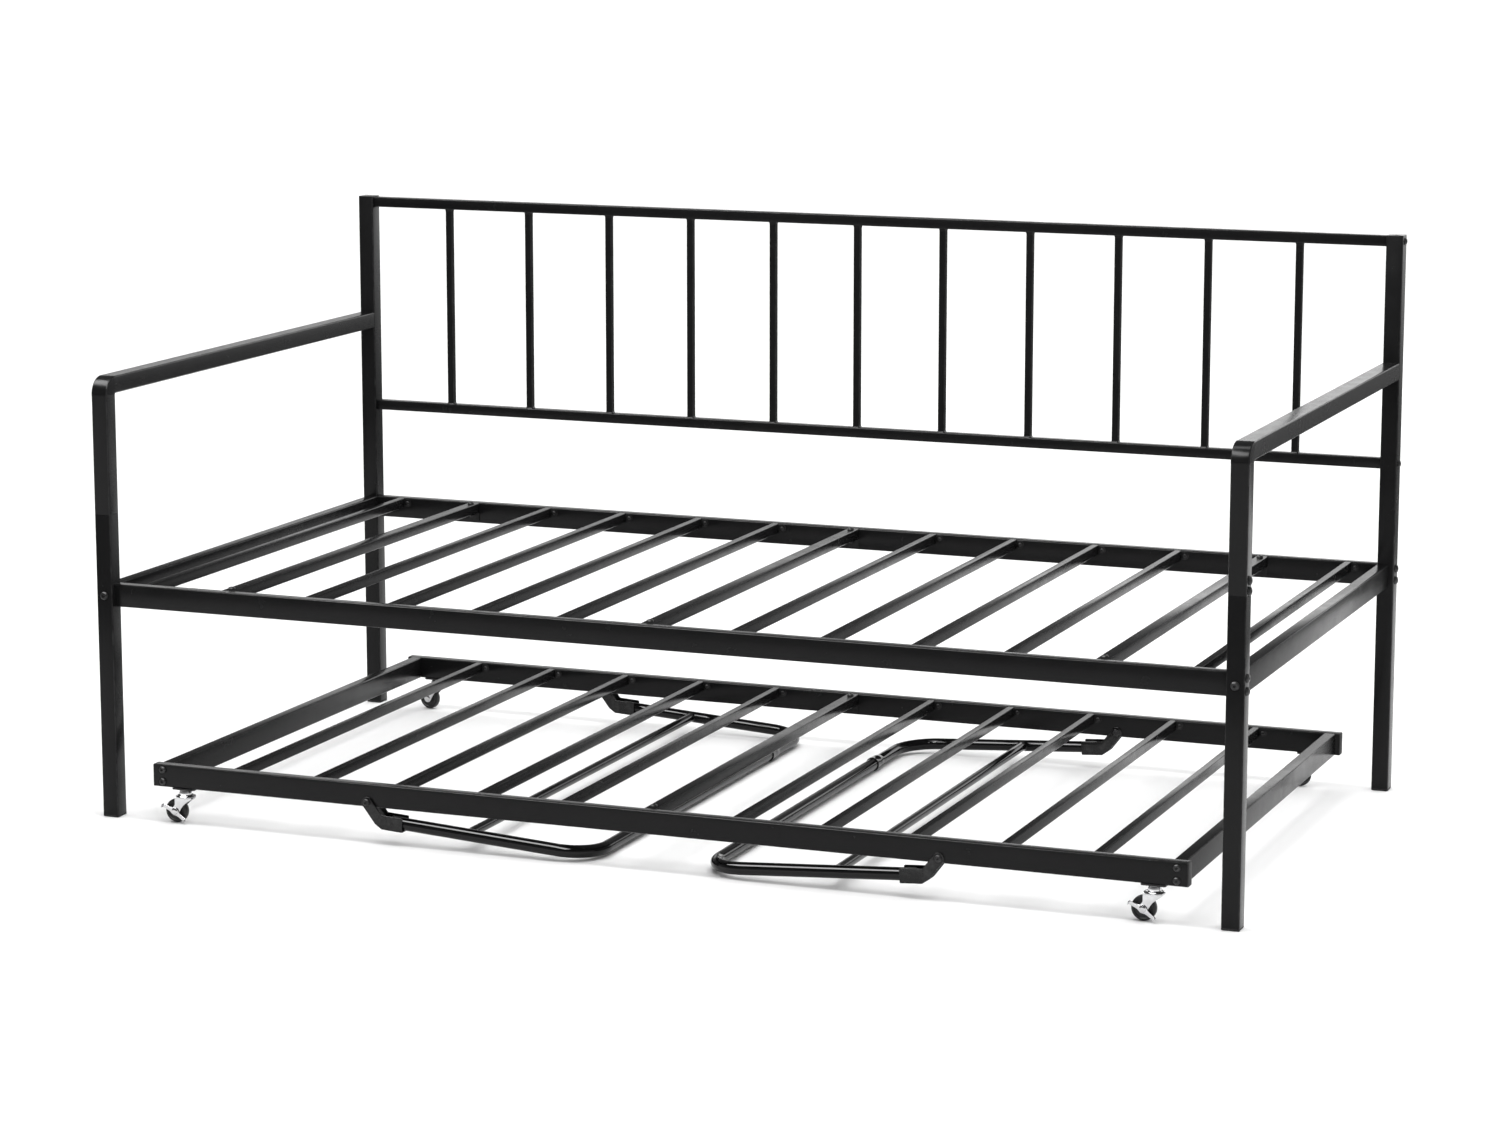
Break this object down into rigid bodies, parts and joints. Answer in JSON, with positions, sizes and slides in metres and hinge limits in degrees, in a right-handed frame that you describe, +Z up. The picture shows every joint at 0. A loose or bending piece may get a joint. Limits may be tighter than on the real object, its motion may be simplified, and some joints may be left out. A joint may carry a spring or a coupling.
{
  "type": "trundle bed",
  "caption": "Metal daybed with spindle back, square arms and slatted deck over a slatted trundle frame that rolls out on swivel casters and has folding legs.",
  "frame": {"origin": "floor, under the middle of the daybed frame", "axes": "+X along the length towards the right end seen from the front, -Y the front, +Z up"},
  "size_m": [1.968, 1.0092, 0.957],
  "materials": {
    "frame_paint": "satin powder coat",
    "leg_paint": "gloss paint",
    "bolt_black": "satin",
    "plate_black": "satin",
    "black_plastic": "matte",
    "wheel_plastic": "satin",
    "chrome": "bright"
  },
  "bodies": {
    "daybed": {"front_left_leg": "frame_paint", "front_right_leg": "frame_paint", "left_arm": "frame_paint", "right_arm": "frame_paint", "arm_sleeves": "frame_paint", "back_left_post": "frame_paint", "back_right_post": "frame_paint", "foot_caps": "black_plastic", "front_rail": "frame_paint", "back_rail": "frame_paint", "left_end_rail": "frame_paint", "right_end_rail": "frame_paint", "deck_slats": "frame_paint", "deck_support_slats": "frame_paint", "deck_slat_brackets": "frame_paint", "deck_slat_screws": "bolt_black", "back_top_rail": "frame_paint", "back_lower_rail": "frame_paint", "back_spindles": "frame_paint", "frame_bolts": "bolt_black", "back_bolts": "bolt_black"},
    "trundle": {"trundle_front_rail": "frame_paint", "trundle_back_rail": "frame_paint", "trundle_left_rail": "frame_paint", "trundle_right_rail": "frame_paint", "trundle_end_plugs": "black_plastic", "trundle_slats": "frame_paint", "trundle_centre_slat": "frame_paint", "trundle_slat_brackets": "frame_paint", "trundle_slat_screws": "bolt_black", "trundle_bolts": "bolt_black", "leg_pivot_bolts": "bolt_black", "front_left_caster_plate": "plate_black", "front_right_caster_plate": "plate_black", "back_left_caster_plate": "plate_black", "back_right_caster_plate": "plate_black"},
    "left_folding_leg": {"left_leg_front_tube": "leg_paint", "left_leg_back_tube": "leg_paint", "left_leg_cross_tube": "leg_paint", "left_leg_front_bracket": "leg_paint", "left_leg_back_bracket": "leg_paint"},
    "right_folding_leg": {"right_leg_front_tube": "leg_paint", "right_leg_back_tube": "leg_paint", "right_leg_cross_tube": "leg_paint", "right_leg_front_bracket": "leg_paint", "right_leg_back_bracket": "leg_paint"},
    "front_left_swivel": {"front_left_caster_fork": "chrome", "front_left_caster_axle": "chrome"},
    "front_left_wheel_body": {"front_left_wheel": "wheel_plastic"},
    "front_left_brake": {"front_left_brake_lever": "chrome"},
    "front_right_swivel": {"front_right_caster_fork": "chrome", "front_right_caster_axle": "chrome"},
    "front_right_wheel_body": {"front_right_wheel": "wheel_plastic"},
    "front_right_brake": {"front_right_brake_lever": "chrome"},
    "back_left_swivel": {"back_left_caster_fork": "chrome", "back_left_caster_axle": "chrome"},
    "back_left_wheel_body": {"back_left_wheel": "wheel_plastic"},
    "back_right_swivel": {"back_right_caster_fork": "chrome", "back_right_caster_axle": "chrome"},
    "back_right_wheel_body": {"back_right_wheel": "wheel_plastic"}
  },
  "joints": [
    {"name": "trundle_roll", "type": "slide", "parent": "daybed", "child": "trundle", "axis": [0, -1, 0], "range_m": [0, 1.02]},
    {"name": "left_leg_fold", "type": "hinge", "parent": "trundle", "child": "left_folding_leg", "pos_m": [-0.485, -0.013, 0.068], "axis": [0, 1, 0], "range_deg": [0, 100]},
    {"name": "right_leg_fold", "type": "hinge", "parent": "trundle", "child": "right_folding_leg", "pos_m": [0.501, -0.013, 0.068], "axis": [0, -1, 0], "range_deg": [0, 100]},
    {"name": "front_left_caster_swivel", "type": "hinge", "parent": "trundle", "child": "front_left_swivel", "pos_m": [-0.828, -0.488, 0.05], "axis": [0, 0, 1], "continuous": true},
    {"name": "front_left_wheel_spin", "type": "hinge", "parent": "front_left_swivel", "child": "front_left_wheel_body", "pos_m": [-0.844, -0.488, 0.02], "axis": [0, -1, 0], "continuous": true},
    {"name": "front_left_brake_rock", "type": "hinge", "parent": "front_left_swivel", "child": "front_left_brake", "pos_m": [-0.844, -0.488, 0.02], "axis": [0, -1, 0], "range_deg": [0, 22]},
    {"name": "front_right_caster_swivel", "type": "hinge", "parent": "trundle", "child": "front_right_swivel", "pos_m": [0.844, -0.488, 0.05], "axis": [0, 0, 1], "continuous": true},
    {"name": "front_right_wheel_spin", "type": "hinge", "parent": "front_right_swivel", "child": "front_right_wheel_body", "pos_m": [0.828, -0.488, 0.02], "axis": [0, -1, 0], "continuous": true},
    {"name": "front_right_brake_rock", "type": "hinge", "parent": "front_right_swivel", "child": "front_right_brake", "pos_m": [0.828, -0.488, 0.02], "axis": [0, -1, 0], "range_deg": [0, 22]},
    {"name": "back_left_caster_swivel", "type": "hinge", "parent": "trundle", "child": "back_left_swivel", "pos_m": [-0.828, 0.462, 0.05], "axis": [0, 0, 1], "continuous": true},
    {"name": "back_left_wheel_spin", "type": "hinge", "parent": "back_left_swivel", "child": "back_left_wheel_body", "pos_m": [-0.84371, 0.46505, 0.02], "axis": [-0.1908, -0.9816, 0], "continuous": true},
    {"name": "back_right_caster_swivel", "type": "hinge", "parent": "trundle", "child": "back_right_swivel", "pos_m": [0.844, 0.462, 0.05], "axis": [0, 0, 1], "continuous": true},
    {"name": "back_right_wheel_spin", "type": "hinge", "parent": "back_right_swivel", "child": "back_right_wheel_body", "pos_m": [0.82896, 0.45653, 0.02], "axis": [0.342, -0.9397, 0], "continuous": true}
  ]
}
